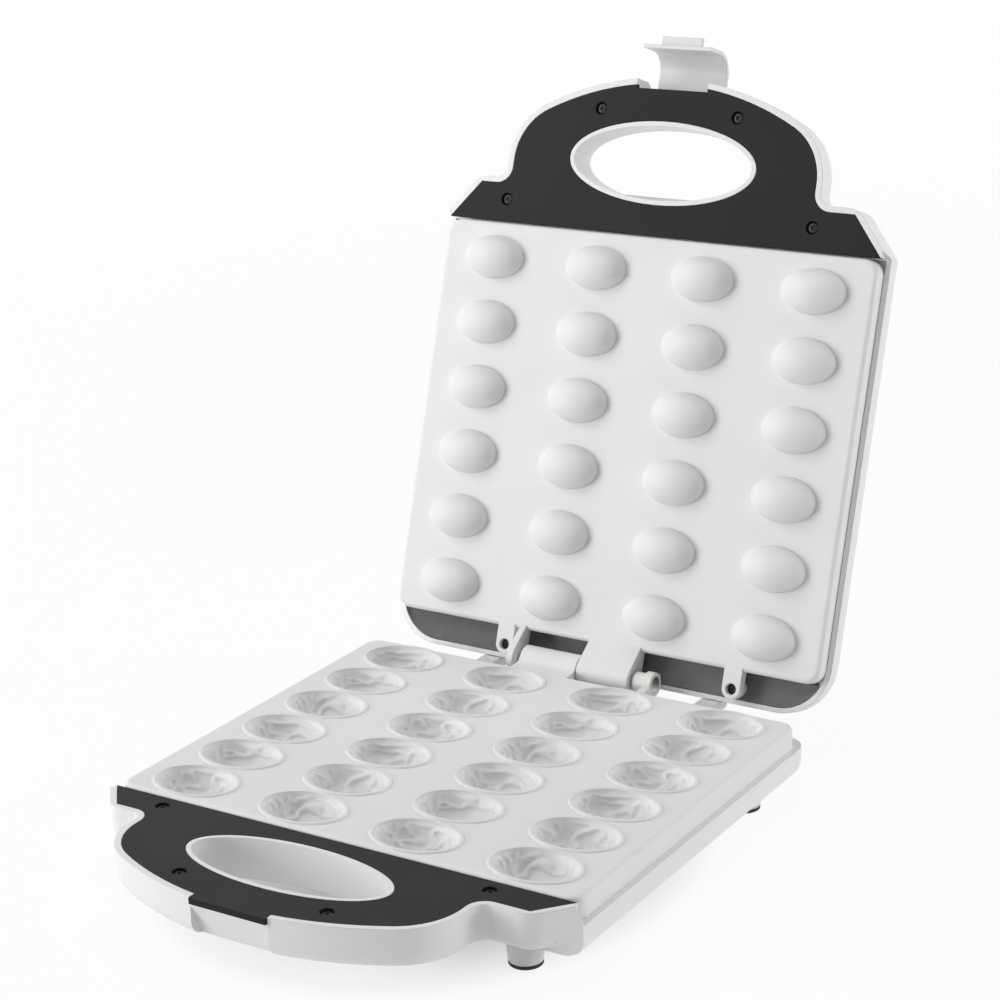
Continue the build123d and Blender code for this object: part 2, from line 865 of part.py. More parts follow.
def lamp_holder():
    low = -lid_depth + wall + lens_inside
    y = lamp_y()
    lamps = [column_of(neon_radius, x, y, low, low + neon_length) for x in lamp_places()]
    x0, x1 = lamp_places()
    front = y - lamp_bar_width / 2
    back = step_y - cross_wall
    top = low + neon_length + lamp_bar_thickness
    bar = block(x0 - lens_flange, x1 + lens_flange, front, back, low + neon_length, top)
    return bar + lamps


# Heater pieces

def heater(depth):
    body = heater_tube(depth, heater_radius)
    for x in (-heater_x, heater_x):
        plane = Plane.XZ.offset(-heater_back) * Pos(x, -depth)
        body += extrude(plane * Circle(heater_pin_radius), amount=-heater_pin_length)
    return body


def heater_clamp(side, clamp_depth):
    x = side * heater_x
    strap = block(
        x - clamp_length / 2,
        x + clamp_length / 2,
        -clamp_width / 2,
        clamp_width / 2,
        -clamp_depth - clamp_thickness,
        -clamp_depth,
    )
    strap = fillet(strap.edges().filter_by(Axis.Z), clamp_width / 3)
    for offset_x in (-clamp_screw_x, clamp_screw_x):
        strap -= column_of(
            clamp_screw_radius + screw_clearance,
            x + offset_x,
            0,
            -clamp_depth - clamp_thickness,
            -clamp_depth,
        )
    return strap


def clamp_screw(x, y, clamp_depth):
    seat = -clamp_depth - clamp_thickness
    head = column_of(clamp_screw_head, x, y, seat - clamp_screw_head_height, seat)
    return head + column_of(clamp_screw_radius, x, y, seat, -clamp_depth + clamp_screw_bite)


def reflector(depth, screw_rows, notch):
    wide = half_x - plate_wall - reflector_inset
    long = half_y - plate_wall - reflector_inset
    sheet = block(-wide, wide, -long, long, -depth - reflector_thickness, -depth)
    for x in (-plate_screw_x, plate_screw_x):
        for y in screw_rows:
            sheet -= column_of(post_radius + screw_clearance, x, y, -2 * depth, 0)
    if notch > 0:
        sheet -= block(-notch / 2, notch / 2, terminal_front() - 2, 2 * long, -2 * depth, 0)
    return sheet


# Controls and wiring in the base

def terminal_front():
    return half_y - plate_wall - terminal_length - 2


def thermostat():
    low = -lower_slab - thermostat_height
    disc = column_of(thermostat_radius, 0, 0, low, -lower_slab)
    disc = fillet(disc.edges().group_by(Axis.Z)[0], 1)
    half = thermostat_tab_thickness / 2
    for x in (-thermostat_radius / 2, thermostat_radius / 2):
        disc += block(x - half, x + half, -thermostat_tab, thermostat_tab, low - thermostat_tab, low)
    return disc


def thermal_limiter():
    disc = column_of(limiter_radius, 0, 0, -upper_slab - limiter_height, -upper_slab)
    return fillet(disc.edges().group_by(Axis.Z)[0], 1)


def thermal_fuse():
    y = 1.5 * row_pitch
    centre = -lower_slab - fuse_radius - screw_clearance
    barrel = Plane.XZ.offset(-y - fuse_length / 2) * Pos(0, centre)
    body = extrude(barrel * Circle(fuse_radius), amount=fuse_length)
    half = fuse_clip / 2
    return body + block(-half, half, y - half, y + half, centre - fuse_radius - 0.5, -lower_slab)


def terminal_block():
    low = -base_depth + wall
    y0 = terminal_front()
    half = terminal_width / 2
    body = block(-half, half, y0, y0 + terminal_length, low, low + terminal_height)
    step = terminal_width / 3
    for x in (-step, 0, step):
        body -= column_of(step / 4, x, y0 + terminal_length / 2, low + terminal_height / 2, 0)
    return fillet(body.edges().filter_by(Axis.Z).sort_by(Axis.X)[:2], 0.5)


def supply_lead(side):
    z = -lower_reflector_depth + lead_drop
    pin_y = heater_back + heater_pin_length
    y0 = terminal_front() + terminal_length / 2
    points = [
        (side * heater_x, pin_y, -lower_heater_depth),
        (side * heater_x, pin_y + lead_start, -lower_heater_depth),
        (side * (heater_x - lead_inset), pin_y + 2 * lead_start, z),
        (side * (terminal_width / 2 + lead_landing), y0, z),
        (side * terminal_width / 2, y0, z),
    ]
    path = FilletPolyline(*points, radius=lead_bend)
    return sweep(Plane(path @ 0, z_dir=path % 0) * Circle(lead_radius), path)


def cord_inlet_bushing():
    rear = half_y + base_rear_gap
    face = Plane.XZ.offset(-rear) * Pos(bushing_x, -bushing_depth)
    body = extrude(face * Circle(bushing_flange), amount=-bushing_flange_thickness)
    body = fillet(body.edges().group_by(Axis.Y)[-1], bushing_flange_thickness / 2)
    body += extrude(face * Circle(bushing_radius), amount=wall + 2)
    return body - extrude(face * Circle(bushing_bore), amount=3 * wall, both=True)


# Hinge pin and latch

def hinge_pin():
    left = lid_ear[0] - clip_gap - clip_length - 1
    shank = row_of(pin_radius, left, base_ear[1], hinge_y, closed_hinge_z)
    head_start = base_ear[1] - pin_head_length + screw_clearance
    return shank + row_of(pin_head_radius, head_start, base_ear[1], hinge_y, closed_hinge_z)


def hinge_clip():
    right = lid_ear[0] - clip_gap
    ring = row_of(clip_radius, right - clip_length, right, hinge_y, closed_hinge_z)
    ring -= row_of(pin_radius + pin_fit, right - clip_length, right, hinge_y, closed_hinge_z)
    slot = 0.8 * pin_radius
    low = closed_hinge_z - 2 * clip_radius
    return ring - block(right - clip_length, right, hinge_y - slot, hinge_y + slot, low, closed_hinge_z)


def latch_pin():
    reach = pocket_half + latch_pocket_wall
    return row_of(latch_pin_radius, handle_x - reach, handle_x + reach, latch_pivot, -latch_pivot_depth)


def latch():
    pivot_z = -latch_pivot_depth
    inner = pivot_z - latch_arm
    outer = inner - latch_thickness
    hook_inner = latch_pivot - latch_pivot_depth - plate_gap - base_handle_depth - latch_hook_gap
    hook_outer = hook_inner - latch_thickness
    bend_y = hook_inner + latch_bend
    bend_z = inner + latch_bend
    root = latch_pivot - latch_barrel
    face = Pos(latch_pivot, pivot_z) * Circle(latch_barrel)
    face += make_face(
        Polyline((root, pivot_z), (root + latch_web, pivot_z), (root + latch_web, outer), (root, outer),
                 close=True)
    )
    face += make_face(
        Polyline((root + latch_web, inner), (bend_y, inner), (bend_y, outer), (root + latch_web, outer),
                 close=True)
    )
    quarter = Pos(bend_y, bend_z) * Circle(latch_bend + latch_thickness)
    quarter -= Pos(bend_y, bend_z) * Circle(latch_bend)
    reach = latch_bend + latch_thickness
    quarter &= Pos(bend_y - reach / 2, bend_z - reach / 2) * Rectangle(reach, reach)
    face += quarter
    hook_end = bend_z + latch_hook_length
    face += make_face(
        Polyline((hook_inner, bend_z), (hook_inner, hook_end), (hook_outer, hook_end), (hook_outer, bend_z),
                 close=True)
    )
    x0 = handle_x - latch_half
    body = extrude(Plane.YZ.offset(x0) * face, amount=2 * latch_half)
    tab_z = bend_z + latch_tab_offset
    body += block(
        handle_x - latch_tab_half,
        handle_x + latch_tab_half,
        hook_outer - latch_tab_length,
        hook_outer,
        tab_z,
        tab_z + latch_thickness,
    )
    x1 = handle_x + latch_half
    return body - row_of(latch_pin_radius + pin_fit, x0 - 1, x1 + 1, latch_pivot, pivot_z)


def lug_screw(x):
    y = half_y + lug_reach
    seat = -lug_bore_depth
    head = column_of(lug_screw_head, x, y, seat, -lug_screw_recess)
    return head + column_of(lug_screw_radius, x, y, seat - lug_screw_length, seat)


# Every piece, drawn face up

base_parts = {
    "base_housing": base_housing(),
    "base_handle_trim": trim(base_reach, base_shoulder),
    "lower_plate": lower_plate(),
    "lower_heater": heater(lower_heater_depth),
    "lower_reflector": reflector(lower_reflector_depth, (-plate_screw_y, plate_screw_y), reflector_notch),
    "thermostat": thermostat(),
    "thermal_fuse": thermal_fuse(),
    "terminal_block": terminal_block(),
    "cord_inlet_bushing": cord_inlet_bushing(),
    "hinge_pin": hinge_pin(),
    "hinge_clip": hinge_clip(),
}
lid_parts = {
    "lid_housing": lid_housing(),
    "lid_handle_trim": trim(lid_reach, lid_shoulder),
    "upper_plate": upper_plate(),
    "upper_heater": heater(upper_heater_depth),
    "upper_reflector": reflector(upper_reflector_depth, (-plate_screw_y,), 0),
    "thermal_limiter": thermal_limiter(),
    "lamp_holder": lamp_holder(),
    "latch_pin": latch_pin(),
    "latch": latch(),
}
for name, (x, y) in foot_places().items():
    base_parts["foot_pad_" + name] = foot_pad(x, y)
for name, side in (("left", -1), ("right", 1)):
    base_parts["supply_lead_" + name] = supply_lead(side)
    base_parts["lower_heater_clamp_" + name] = heater_clamp(side, lower_clamp_depth)
    lid_parts["upper_heater_clamp_" + name] = heater_clamp(side, upper_clamp_depth)
for number, (x, y) in enumerate(clamp_screw_places(), 1):
    base_parts["lower_clamp_screw_" + str(number)] = clamp_screw(x, y, lower_clamp_depth)
    lid_parts["upper_clamp_screw_" + str(number)] = clamp_screw(x, y, upper_clamp_depth)
for number, (x, y) in enumerate(trim_screw_places(base_reach, base_shoulder), 1):
    base_parts["base_trim_screw_" + str(number)] = trim_screw(x, y)
for number, (x, y) in enumerate(trim_screw_places(lid_reach, lid_shoulder), 1):
    lid_parts["lid_trim_screw_" + str(number)] = trim_screw(x, y)
for name, side in (("left", -1), ("right", 1)):
    x = side * plate_screw_x
    for row, y in (("front", -plate_screw_y), ("rear", plate_screw_y)):
        base_parts["lower_plate_screw_" + row + "_" + name] = plate_screw(x, y, base_depth, boss_depth)
    lid_parts["upper_plate_screw_" + name] = plate_screw(x, -plate_screw_y, lid_depth, upper_boss_depth)
for name, x in zip(("left", "right"), lug_x):
    lid_parts["upper_lug_screw_" + name] = lug_screw(x)
for name, x in zip(("power", "ready"), lamp_places()):
    lid_parts[name + "_lamp_lens"] = lamp_lens(x)

# The lid's parts are turned over, lifted by the gap between the plates and swung open

hinge_axis = Axis((0, hinge_y, closed_hinge_z), (1, 0, 0))


def on_lid(shape):
    closed = Pos(0, 0, plate_gap) * mirror(shape, Plane.XY)
    return closed.rotate(hinge_axis, -opening_angle)


placed = dict(base_parts)
for name, shape in lid_parts.items():
    placed[name] = on_lid(shape)

# The finished object stands with the middle of its footprint at the origin

box = Compound(children=[Part(shape.wrapped) for shape in placed.values()]).bounding_box()
shift = Vector(-(box.min.X + box.max.X) / 2, -(box.min.Y + box.max.Y) / 2, -box.min.Z)
for name, shape in placed.items():
    export_step(Pos(shift) * shape, "parts/" + name + ".step")

pivot = turned(latch_pivot, plate_gap + latch_pivot_depth)
print("nodes", len(placed))
print("size", round(box.size.X, 3), round(box.size.Y, 3), round(box.size.Z, 3))
print("shift", [round(value, 4) for value in shift])
print("lid hinge", [0, round(hinge_y + shift.Y, 4), round(closed_hinge_z + shift.Z, 4)])
print("latch hinge", [0, round(pivot[0] + shift.Y, 4), round(pivot[1] + shift.Z, 4)])
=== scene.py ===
import json
import math

import bmesh
import bpy
from mathutils import Matrix, Vector, noise


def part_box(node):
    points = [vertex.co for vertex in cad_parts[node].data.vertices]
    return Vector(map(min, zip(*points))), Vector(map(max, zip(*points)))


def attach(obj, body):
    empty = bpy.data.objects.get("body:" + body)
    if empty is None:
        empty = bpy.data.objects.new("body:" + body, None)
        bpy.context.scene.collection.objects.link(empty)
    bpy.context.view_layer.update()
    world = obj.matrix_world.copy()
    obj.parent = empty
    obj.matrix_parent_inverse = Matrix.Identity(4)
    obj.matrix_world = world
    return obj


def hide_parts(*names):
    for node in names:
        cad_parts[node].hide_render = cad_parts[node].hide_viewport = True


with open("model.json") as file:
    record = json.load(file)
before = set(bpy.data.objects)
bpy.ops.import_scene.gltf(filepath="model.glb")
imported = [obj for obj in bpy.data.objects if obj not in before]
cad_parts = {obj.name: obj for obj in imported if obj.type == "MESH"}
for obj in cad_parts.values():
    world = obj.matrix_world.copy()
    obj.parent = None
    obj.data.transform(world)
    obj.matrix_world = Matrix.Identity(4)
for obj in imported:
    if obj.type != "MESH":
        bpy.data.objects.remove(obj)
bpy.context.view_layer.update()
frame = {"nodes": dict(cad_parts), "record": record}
cadNodes = frame["nodes"]
scene = bpy.context.scene
print("frame:", len(cadNodes), "CAD pieces loaded")

mm = 0.001
openAngle = math.radians(108.5)  # how far the lid is swung back from closed
baseUp = Vector((0, 0, 1))
lidUp = Vector((0, -math.sin(openAngle), -math.cos(openAngle)))  # out of the lid's inner face


# colours and shader nodes

def fromHex(code, alpha=1.0):
    channels = [int(code[i:i + 2], 16) / 255 for i in (1, 3, 5)]
    linear = [c / 12.92 if c <= 0.04045 else ((c + 0.055) / 1.055) ** 2.4 for c in channels]
    return (*linear, alpha)


def freshTree(holder):
    holder.use_nodes = True
    holder.node_tree.nodes.clear()
    return holder.node_tree


def addNode(tree, kind, inputs=None, **settings):
    node = tree.nodes.new(kind)
    for name, value in settings.items():
        setattr(node, name, value)
    for name, value in (inputs or {}).items():
        if isinstance(value, bpy.types.NodeSocket):
            tree.links.new(value, node.inputs[name])
        else:
            node.inputs[name].default_value = value
    return node


def perMetre(size):
    return 1 / (size * mm)  # a noise scale from a real size in millimetres


patchNoise = {"Detail": 3.0, "Roughness": 0.55}  # slow drift of colour and gloss over a piece
grainNoise = {"Detail": 2.0, "Roughness": 0.6}  # the fine skin


def surface(name, look):
    material = bpy.data.materials.new(name)
    tree = freshTree(material)
    place = addNode(tree, "ShaderNodeTexCoord").outputs["Object"]
    if "stretch" in look:
        stretched = addNode(tree, "ShaderNodeMapping", {"Vector": place, "Scale": look["stretch"]})
        place = stretched.outputs["Vector"]
    patches = addNode(tree, "ShaderNodeTexNoise", {
        "Vector": place, "Scale": perMetre(look["patchSize"]), **patchNoise})
    colour = addNode(tree, "ShaderNodeMix", {
        "Factor": patches.outputs["Fac"], "A": fromHex(look["colour"]), "B": fromHex(look["tint"])},
        data_type="RGBA")
    grain = addNode(tree, "ShaderNodeTexNoise", {
        "Vector": place, "Scale": perMetre(look["grainSize"]), **grainNoise})
    gloss = addNode(tree, "ShaderNodeMapRange", {
        "Value": patches.outputs["Fac"], "To Min": look["roughness"][0], "To Max": look["roughness"][1]})
    edge = addNode(tree, "ShaderNodeBevel", {"Radius": look["edge"] * mm}, samples=4)
    bump = addNode(tree, "ShaderNodeBump", {
        "Height": grain.outputs["Fac"], "Normal": edge.outputs["Normal"], "Strength": look["grainStrength"],
        "Distance": look["grainDepth"] * mm})
    shader = addNode(tree, "ShaderNodeBsdfPrincipled", {
        "Base Color": colour.outputs["Result"], "Roughness": gloss.outputs["Result"],
        "Normal": bump.outputs["Normal"], "Metallic": look.get("metallic", 0.0)})
    if "ior" in look:
        shader.inputs["IOR"].default_value = look["ior"]
    for socket, value in look.get("shader", {}).items():
        shader.inputs[socket].default_value = value
    addNode(tree, "ShaderNodeOutputMaterial", {"Surface": shader.outputs["BSDF"]})
    return material


looks = {
    # ABS, injection moulded in a polished tool: even, light gloss, a trace of orange peel
    "polishedAbs": {
        "colour": "#EAEAE9", "tint": "#E6E6E6", "patchSize": 60, "grainSize": 1.6, "grainStrength": 0.12,
        "grainDepth": 0.02, "roughness": (0.27, 0.33), "ior": 1.54, "edge": 0.6,
        "nodes": ("base_housing", "lid_housing"),
    },
    # cast aluminium with a sprayed and baked ceramic coat: satin, soft edges, fine pebbled skin
    "sprayedCeramic": {
        "colour": "#E9E9E8", "tint": "#E3E3E2", "patchSize": 45, "grainSize": 0.9, "grainStrength": 0.2,
        "grainDepth": 0.03, "roughness": (0.5, 0.58), "ior": 1.5, "edge": 0.8,
        "nodes": ("lower_plate", "upper_plate"),
    },
    # ABS with a spark-eroded grain of 0.2 mm, drawn at 0.5 mm so that it shows: dark, matt
    "grainedAbs": {
        "colour": "#222223", "tint": "#1E1E1F", "patchSize": 50, "grainSize": 0.5, "grainStrength": 0.35,
        "grainDepth": 0.04, "roughness": (0.48, 0.56), "ior": 1.54, "edge": 0.4,
        "shader": {"Specular IOR Level": 0.12},
        "nodes": ("base_handle_trim", "lid_handle_trim"),
    },
    # polyamide latch, moulded: greyer than the housings as painted shade of the same white plastic, and
    # softer in its gloss
    "mouldedPolyamide": {
        "colour": "#E4E4E3", "tint": "#DEDEDD", "patchSize": 30, "grainSize": 1.2, "grainStrength": 0.15,
        "grainDepth": 0.02, "roughness": (0.36, 0.42), "ior": 1.53, "edge": 0.5,
        "nodes": ("latch",),
    },
    # EPDM rubber, compression moulded: nearly black and dull
    "mouldedRubber": {
        "colour": "#1B1B1C", "tint": "#232324", "patchSize": 6, "grainSize": 0.4, "grainStrength": 0.4,
        "grainDepth": 0.03, "roughness": (0.7, 0.82), "ior": 1.52, "edge": 0.4,
        "nodes": ("foot_pad_", "cord_inlet_bushing"),
    },
    # steel wire, zinc plated and turned: bright with fine rings round the axis
    "platedSteel": {
        "colour": "#BDBBB6", "tint": "#AFAEAA", "patchSize": 4, "grainSize": 0.3, "grainStrength": 0.2,
        "grainDepth": 0.01, "roughness": (0.26, 0.36), "metallic": 1.0, "stretch": (6, 1, 1), "edge": 0.2,
        "nodes": ("hinge_pin", "hinge_clip", "latch_pin", "thermal_fuse", "lower_heater_clamp_",
                  "upper_heater_clamp_"),
    },
    # steel sheath of the heaters, annealed: brown-grey oxide with straw and blue patches
    "annealedSheath": {
        "colour": "#6C645A", "tint": "#55555E", "patchSize": 9, "grainSize": 0.5, "grainStrength": 0.25,
        "grainDepth": 0.02, "roughness": (0.38, 0.52), "metallic": 1.0, "edge": 0.2,
        "nodes": ("lower_heater", "upper_heater"),
    },
    # aluminium sheet as rolled: bright, with rolling lines along its length
    "rolledAluminium": {
        "colour": "#C9CACB", "tint": "#BCBDBE", "patchSize": 3, "grainSize": 0.6, "grainStrength": 0.15,
        "grainDepth": 0.01, "roughness": (0.28, 0.38), "metallic": 1.0, "stretch": (1, 0.04, 1), "edge": 0.1,
        "nodes": ("lower_reflector", "upper_reflector"),
    },
    # phenolic resin, pressed with wood flour: dark brown, faint specks, half gloss
    "pressedPhenolic": {
        "colour": "#241B16", "tint": "#2E231C", "patchSize": 1.2, "grainSize": 0.3, "grainStrength": 0.2,
        "grainDepth": 0.02, "roughness": (0.34, 0.46), "ior": 1.6, "edge": 0.3,
        "nodes": ("terminal_block", "thermostat", "thermal_limiter", "lamp_holder"),
    },
    # polycarbonate lenses, injection moulded and dyed through, one red and one green: smooth, glossy
    "redPolycarbonate": {
        "colour": "#B4140F", "tint": "#A8120E", "patchSize": 5, "grainSize": 0.6, "grainStrength": 0.05,
        "grainDepth": 0.01, "roughness": (0.08, 0.12), "ior": 1.585, "edge": 0.3,
        "nodes": ("power_lamp_lens",),
    },
    "greenPolycarbonate": {
        "colour": "#1F8A3C", "tint": "#1C7F37", "patchSize": 5, "grainSize": 0.6, "grainStrength": 0.05,
        "grainDepth": 0.01, "roughness": (0.08, 0.12), "ior": 1.585, "edge": 0.3,
        "nodes": ("ready_lamp_lens",),
    },
    # braided glass-fibre sleeve: cream, rough, 0.8 mm plaits
    "braidedGlassFibre": {
        "colour": "#D9D3C0", "tint": "#C6BFA9", "patchSize": 0.8, "grainSize": 0.8, "grainStrength": 0.6,
        "grainDepth": 0.1, "roughness": (0.8, 0.95), "ior": 1.5, "edge": 0.1,
        "nodes": ("supply_lead_",),
    },
    # steel screws, blackened and oiled: dark with a soft shine on the edges
    "blackenedSteel": {
        "colour": "#2B2B2D", "tint": "#3A3A3C", "patchSize": 1.5, "grainSize": 0.25, "grainStrength": 0.2,
        "grainDepth": 0.02, "roughness": (0.36, 0.5), "metallic": 1.0, "edge": 0.1,
        "nodes": ("base_trim_screw_", "lid_trim_screw_", "upper_lug_screw_"),
    },
    # steel screws under the housings and on the heater straps, zinc plated: light grey, half bright
    "zincPlatedSteel": {
        "colour": "#B7B8B5", "tint": "#A2A39F", "patchSize": 2, "grainSize": 0.25, "grainStrength": 0.2,
        "grainDepth": 0.01, "roughness": (0.3, 0.42), "metallic": 1.0, "edge": 0.1,
        "nodes": ("lower_plate_screw_", "upper_plate_screw_", "lower_clamp_screw_", "upper_clamp_screw_"),
    },
    # dark grey sheet in the lid's channel, painted shade where the channel lies in shadow: drawn as matted
    # felt with 0.6 mm tufts
    "paintedShadeFelt": {
        "colour": "#6C6C6D", "tint": "#7A7A7B", "patchSize": 7, "grainSize": 0.6, "grainStrength": 0.7,
        "grainDepth": 0.2, "roughness": (0.85, 0.98), "ior": 1.5, "edge": 0.2,
        "shader": {"Specular IOR Level": 0.2},
        "nodes": (),
    },
}


def isNamed(node, start):  # a name that ends in _ stands for all the nodes that it begins
    return node == start or start.endswith("_") and node.startswith(start)


materials = {}
for name, look in looks.items():
    materials[name] = surface(name, look)
    for node, obj in cadNodes.items():
        if any(isNamed(node, start) for start in look["nodes"]):
            obj.data.materials.clear()
            obj.data.materials.append(materials[name])
print("materials:", len(materials))


# making and placing new pieces

def meshFrom(draft, name, sharpAngle=None):
    mesh = bpy.data.meshes.new(name)
    draft.to_mesh(mesh)
    draft.free()
    mesh.shade_smooth()
    if sharpAngle:
        mesh.set_sharp_from_angle(angle=math.radians(sharpAngle))
    return mesh


def bridge(draft, low, high, count, flipped=False):  # faces between two rings, one of which may be a point
    for i in range(count):
        j = (i + 1) % count
        corners = [low[i % len(low)], low[j % len(low)], high[j % len(high)], high[i % len(high)]]
        corners = list(dict.fromkeys(corners))
        draft.faces.new(corners[::-1] if flipped else corners)


def bodyOf(node):
    return "lid" if node in frame["record"]["behaviour"]["bodies"]["lid"] else "base"


def addPiece(name, mesh, body, material, place=Matrix.Identity(4)):
    mesh.materials.clear()
    mesh.materials.append(materials[material])
    piece = bpy.data.objects.new(name, mesh)
    scene.collection.objects.link(piece)
    piece.matrix_world = place
    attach(piece, body)
    return piece


def seatOf(node, axis):  # the middle of a CAD node's outer end along an axis
    points = [v.co for v in cadNodes[node].data.vertices]
    across = axis.orthogonal().normalized()
    seat = Vector()
    for direction in (across, axis.cross(across)):
        reach = [p.dot(direction) for p in points]
        seat += direction * (min(reach) + max(reach)) / 2
    return seat + axis * max(p.dot(axis) for p in points)


def standIn(node, mesh, size, turn=0.0):  # puts a mesh, drawn downwards from its top, where a CAD node is
    facing = size["axis"].to_track_quat("Z", "Y").to_matrix().to_4x4() @ Matrix.Rotation(turn, 4, "Z")
    place = Matrix.Translation(seatOf(node, size["axis"])) @ facing
    piece = addPiece("detailed_" + node, mesh, bodyOf(node), size["material"], place)
    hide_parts(node)


# screws: pan heads with a cross recess and a threaded shank, in millimetres

trimScrew = {
    "headRadius": 3.0, "headHeight": 1.2, "shankRadius": 1.5, "pitch": 0.9,
    "slot": "dark_screw", "material": "blackenedSteel",
}
plateScrew = {
    "headRadius": 3.6, "headHeight": 2.0, "shankRadius": 2.0, "pitch": 0.7,
    "slot": "steel", "material": "zincPlatedSteel",
}
clampScrew = {
    "headRadius": 2.6, "headHeight": 1.5, "shankRadius": 1.4, "pitch": 0.6,
    "slot": "steel", "material": "zincPlatedSteel",
}
screws = {
    "base_trim_screw_": {**trimScrew, "axis": baseUp},
    "lid_trim_screw_": {**trimScrew, "axis": lidUp},
    "upper_lug_screw_": {**trimScrew, "axis": lidUp, "headRadius": 2.7},
    "lower_plate_screw_": {**plateScrew, "axis": -baseUp},
    "upper_plate_screw_": {**plateScrew, "axis": -lidUp},
    "lower_clamp_screw_": {**clampScrew, "axis": -baseUp},
    "upper_clamp_screw_": {**clampScrew, "axis": -lidUp},
}
crown = {"flat": 0.55, "drop": 0.03}  # a share of the head's radius, and millimetres
headCurve = ((0.82, 0.18), (0.96, 0.42), (1, 0.7), (1, 1))  # shares of radius and height, below the crown
thread = {
    "run": 0.6, "end": 2.0, "point": 0.8,  # plain lengths under the head and at the end, in millimetres
    "root": 0.8, "tip": 0.75,  # shares of the shank's radius
    "crest": 0.45, "foot": 0.9,  # shares of the pitch
}
crossRecess = {"arm": 0.58, "web": 0.13, "taper": 0.45, "depth": 0.75}  # shares of the head, taper of the arm
screwSides = 40
screwSharpAngle = 35
firstTurn, nextTurn = 17, 41  # degrees: a screw stops at any angle


def turnedDraft(profile, sides, ring=False):  # a ring's profile closes on itself
    draft = bmesh.new()
    rings = []
    for radius, z in profile:
        if radius == 0:
            rings.append([draft.verts.new((0, 0, z * mm))])
            continue
        spins = [2 * math.pi * i / sides for i in range(sides)]
        rings.append([draft.verts.new((radius * mm * math.cos(spin), radius * mm * math.sin(spin), z * mm))
                      for spin in spins])
    for low, high in zip(rings, rings[1:] + rings[:1] if ring else rings[1:]):
        bridge(draft, low, high, sides)
    bmesh.ops.recalc_face_normals(draft, faces=draft.faces)
    return draft


def screwDraft(size, total):
    head, height, shank, pitch = (size[k] for k in ("headRadius", "headHeight", "shankRadius", "pitch"))
    length = total - height
    profile = [(0, 0), (head * crown["flat"], -crown["drop"])]
    profile += [(head * radius, -height * drop) for radius, drop in headCurve]
    profile.append((shank, -height))
    for i in range(int((length - thread["end"]) / pitch)):
        z = -height - thread["run"] - i * pitch
        root = shank * thread["root"]
        profile += [(root, z), (shank, z - pitch * thread["crest"]), (root, z - pitch * thread["foot"])]
    profile += [(shank * thread["tip"], thread["point"] - height - length), (0, -height - length)]
    return turnedDraft(profile, screwSides)


def recessDraft(size):
    draft = bmesh.new()
    arm, web = size["headRadius"] * crossRecess["arm"], size["headRadius"] * crossRecess["web"]
    floor = -size["headHeight"] * crossRecess["depth"]
    above = 0.5
    for turn in (0, math.pi / 2):
        made = bmesh.ops.create_cube(draft, size=1.0)["verts"]
        for v in made:
            low = v.co.z < 0
            along = v.co.x * 2 * arm * (crossRecess["taper"] if low else 1.0)
            v.co = (along * mm, v.co.y * 2 * web * mm, (floor if low else above) * mm)
        bmesh.ops.rotate(draft, verts=made, cent=(0, 0, 0), matrix=Matrix.Rotation(turn, 3, "Z"))
    return draft


def screwMesh(name, size, total):
    holder = bpy.data.objects.new(name + "Holder", meshFrom(screwDraft(size, total), name + "Body"))
    cutter = bpy.data.objects.new(name + "Cutter", meshFrom(recessDraft(size), name + "Cut"))
    for helper in (holder, cutter):
        scene.collection.objects.link(helper)
    cut = holder.modifiers.new("recess", "BOOLEAN")
    cut.object = cutter
    cut.solver = "EXACT"
    cut.use_self = True
    bpy.context.view_layer.update()
    finished = bpy.data.meshes.new_from_object(holder.evaluated_get(bpy.context.evaluated_depsgraph_get()))
    finished.name = name
    for helper in (holder, cutter):
        bpy.data.objects.remove(helper)
    finished.shade_smooth()
    finished.set_sharp_from_angle(angle=math.radians(screwSharpAngle))
    return finished


for start, size in screws.items():
    nodes = sorted(node for node in cadNodes if isNamed(node, start))
    heights = [v.co.dot(size["axis"]) / mm for v in cadNodes[nodes[0]].data.vertices]
    mesh = screwMesh(start + "mesh", size, max(heights) - min(heights))
    for number, node in enumerate(nodes):
        standIn(node, mesh, size, math.radians(firstTurn + nextTurn * number))
print("screws dressed:", len(screws), "kinds")


# turned and moulded round pieces, each profile measured from its outer end in millimetres

